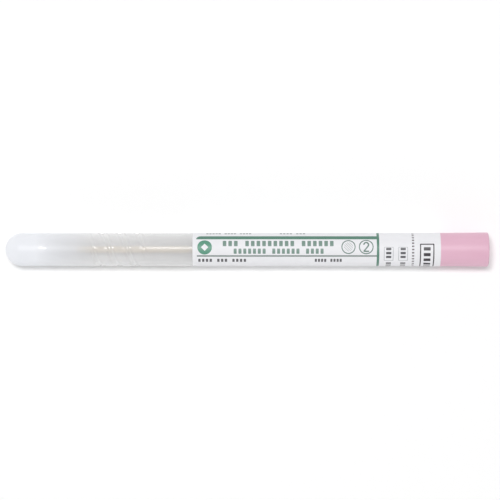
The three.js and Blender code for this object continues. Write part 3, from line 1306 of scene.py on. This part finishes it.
def seen_directly(nodes):
    """1 for rays from the camera, a mirror or glass, and 0 for light that spreads."""
    path = nodes.add("ShaderNodeLightPath")
    kinds = ("Is Camera Ray", "Is Glossy Ray", "Is Transmission Ray")
    straight, mirrored, through_glass = (path.output(kind) for kind in kinds)
    return straight | mirrored | through_glass


visual_low, visual_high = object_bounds()
bpy.ops.object.select_all(action="DESELECT")
bpy.ops.mesh.primitive_plane_add(size=TABLE_SIZE, location=(0, 0, visual_low.z))
table = bpy.context.object
table.name = "table"
table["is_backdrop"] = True
table_nodes = finish_piece(table, "pale_table")
table_nodes.coat(
    Base_Color=TABLE_GREY,
    Roughness=TABLE_ROUGHNESS,
    Emission_Color=table_nodes.mix(seen_directly(table_nodes), NO_GLOW, WHITE_GLOW),
    Emission_Strength=TABLE_GLOW,
)

# %% [markdown]
# ## Light
#
# Two lamps hang nearly overhead, tipped to the far side, so that a narrow shadow falls along
# the near edge. The wide one draws a soft line of light along the tube. The small one leans
# further to the round end, and draws the clear shadow just past the cap. The rest comes
# from the world, as in a light tent: bright low down all round, most of all on the near
# side, and dimmer above. Together they light a level surface at a strength of about 1, at
# which colours show as they are written.

# %% Lamps and tent
LAMP_DISTANCE = 2.5
LAMP_TIP = math.radians(12)
WIDE_LAMP = {"lean": math.radians(3), "length": 1.25, "width": 0.65, "power": 24.5}
SMALL_LAMP = {"lean": math.radians(10), "length": 0.35, "width": 0.5, "power": 13}
TENT_LOW = 1.6
TENT_HIGH = 0.25
TENT_FALL = 2.5
TENT_NEARER = 0.25


def hang_lamp(name, lean, length, width, power):
    """A lamp that faces the object, tipped to the far side and leaning to the round end."""
    bpy.ops.object.light_add(type="AREA", rotation=(-LAMP_TIP, -lean, 0))
    lamp = bpy.context.object
    lamp.location = lamp.rotation_euler.to_matrix() @ Vector((0, 0, LAMP_DISTANCE))
    lamp.name = name
    lamp.data.shape = "RECTANGLE"
    lamp.data.size = length
    lamp.data.size_y = width
    lamp.data.energy = power
    lamp.visible_camera = False


hang_lamp("wide_lamp", **WIDE_LAMP)
hang_lamp("small_lamp", **SMALL_LAMP)

world = bpy.data.worlds.new("light_tent")
bpy.context.scene.world = world
tent = Nodes(world)
direction = tent.add("ShaderNodeTexCoord").output("Generated")
toward = tent.add("ShaderNodeSeparateXYZ", {}, {"Vector": direction})
fall = (1 - (toward.output("Z") | 0)) ** TENT_FALL
glow = (TENT_HIGH + fall * (TENT_LOW - TENT_HIGH)) * (1 - toward.output("Y") * TENT_NEARER)
seen = seen_directly(tent)
strength = seen + (1 - seen) * glow
tent.show(tent.add("ShaderNodeBackground", {}, {"Color": WHITE_GLOW, "Strength": strength}))
print("lamps:", WIDE_LAMP["power"], "and", SMALL_LAMP["power"], "watts")

# %% [markdown]
# ## Camera
#
# The camera looks straight down from a little under a metre, so the tube lies across the
# picture with very little perspective. Its lens follows from that distance and the width
# of table that fits the picture.

# %% The camera
CAMERA_HEIGHT = 0.9
VIEW_WIDTH = 184.5 * MM
VIEW_CENTRE = (1.19 * MM, -0.17 * MM)

bpy.ops.object.camera_add(location=(*VIEW_CENTRE, AXIS_HEIGHT + CAMERA_HEIGHT), rotation=(0, 0, 0))
camera = bpy.context.object
camera.data.lens = camera.data.sensor_width * CAMERA_HEIGHT / VIEW_WIDTH
bpy.context.scene.camera = camera
bpy.context.scene.view_settings.view_transform = "Standard"
print("lens", round(camera.data.lens, 1), "mm")

# %% [markdown]
# ## The last check
#
# The finished pieces have to stay in the imported model's box, so both boxes are measured,
# and how far the pieces reach past the frame's box at either end is printed.

# %% Sizes
visual_low, visual_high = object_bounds()
past_low = max(cad_low - visual_low)
past_high = max(visual_high - cad_high)
print("past the frame's box by", round(past_low / MM, 3), "and", round(past_high / MM, 3), "mm")
